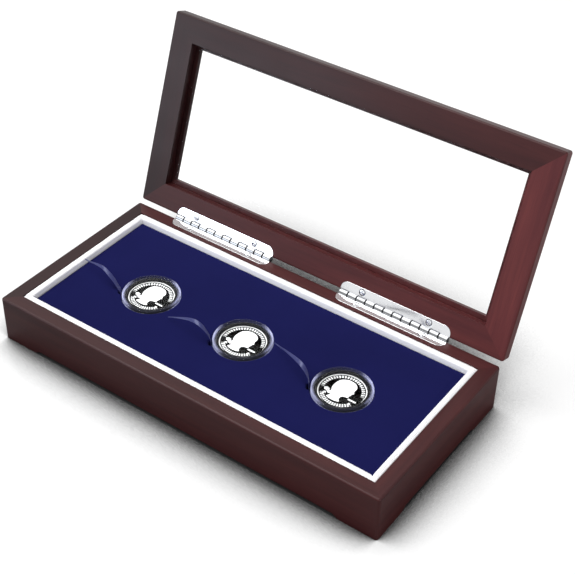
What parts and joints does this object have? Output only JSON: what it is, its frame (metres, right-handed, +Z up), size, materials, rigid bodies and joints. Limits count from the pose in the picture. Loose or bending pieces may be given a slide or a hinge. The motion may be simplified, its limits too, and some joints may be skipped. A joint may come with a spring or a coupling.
{
  "type": "coin display case",
  "caption": "Open wooden coin display case with a hinged windowed lid, white padded lining, velvet pad, encapsulated coins in a row and satin lift ribbons.",
  "frame": {"origin": "under the middle of the closed box, on the surface it stands on", "axes": "+X to the right along the long side, +Y to the back where the hinges are, +Z up"},
  "size_m": [0.23, 0.1523, 0.1288],
  "materials": {
    "case_wood": "dark stain under satin lacquer",
    "lid_wood": "dark stain under satin lacquer",
    "panel_wood": "plain board",
    "felt": "matte felt",
    "white_lining": "smooth padded cloth",
    "velvet": "short velvet pile",
    "card": "plain card",
    "foam": "matte foam",
    "pane": "clear and flat",
    "hinge_metal": "bright plate",
    "ribbon_satin": "satin",
    "coin_metal": "frosted raised parts on a mirror field",
    "black_ring": "matte foam plastic",
    "capsule_clear": "clear acrylic"
  },
  "bodies": {
    "case": {"base_front_wall": "case_wood", "base_back_wall": "case_wood", "base_left_wall": "case_wood", "base_right_wall": "case_wood", "bottom_panel": "panel_wood", "bottom_felt": "felt", "liner_front": "white_lining", "liner_back": "white_lining", "liner_left": "white_lining", "liner_right": "white_lining", "velvet_pad": "velvet", "pad_card": "card", "foam_riser": "foam", "hinge_left_base_leaf": "hinge_metal", "hinge_left_pin": "hinge_metal", "hinge_right_base_leaf": "hinge_metal", "hinge_right_pin": "hinge_metal", "base_hinge_screws": "hinge_metal", "lift_ribbon_left": "ribbon_satin", "lift_ribbon_middle": "ribbon_satin", "lift_ribbon_right": "ribbon_satin"},
    "lid": {"lid_front_rail": "lid_wood", "lid_back_rail": "lid_wood", "lid_left_stile": "lid_wood", "lid_right_stile": "lid_wood", "lid_pane": "pane", "hinge_left_lid_leaf": "hinge_metal", "hinge_right_lid_leaf": "hinge_metal", "lid_hinge_screws": "hinge_metal"},
    "capsule_left": {"capsule_base_left": "capsule_clear", "coin_ring_left": "black_ring", "coin_left": "coin_metal"},
    "cover_left": {"capsule_cover_left": "capsule_clear"},
    "capsule_middle": {"capsule_base_middle": "capsule_clear", "coin_ring_middle": "black_ring", "coin_middle": "coin_metal"},
    "cover_middle": {"capsule_cover_middle": "capsule_clear"},
    "capsule_right": {"capsule_base_right": "capsule_clear", "coin_ring_right": "black_ring", "coin_right": "coin_metal"},
    "cover_right": {"capsule_cover_right": "capsule_clear"}
  },
  "joints": [
    {"name": "lid_hinge", "type": "hinge", "parent": "case", "child": "lid", "pos_m": [0, 0.0551, 0.0263], "axis": [1, 0, 0], "range_deg": [0, 109.5], "deforming": ["lift_ribbon_left", "lift_ribbon_middle", "lift_ribbon_right"]},
    {"name": "capsule_left_lift", "type": "slide", "parent": "case", "child": "capsule_left", "axis": [0, 0, -1], "range_m": [-0.02, 0]},
    {"name": "cover_left_lift", "type": "slide", "parent": "capsule_left", "child": "cover_left", "axis": [0, 0, -1], "range_m": [-0.01, 0]},
    {"name": "capsule_middle_lift", "type": "slide", "parent": "case", "child": "capsule_middle", "axis": [0, 0, -1], "range_m": [-0.02, 0]},
    {"name": "cover_middle_lift", "type": "slide", "parent": "capsule_middle", "child": "cover_middle", "axis": [0, 0, -1], "range_m": [-0.01, 0]},
    {"name": "capsule_right_lift", "type": "slide", "parent": "case", "child": "capsule_right", "axis": [0, 0, -1], "range_m": [-0.02, 0]},
    {"name": "cover_right_lift", "type": "slide", "parent": "capsule_right", "child": "cover_right", "axis": [0, 0, -1], "range_m": [-0.01, 0]}
  ]
}
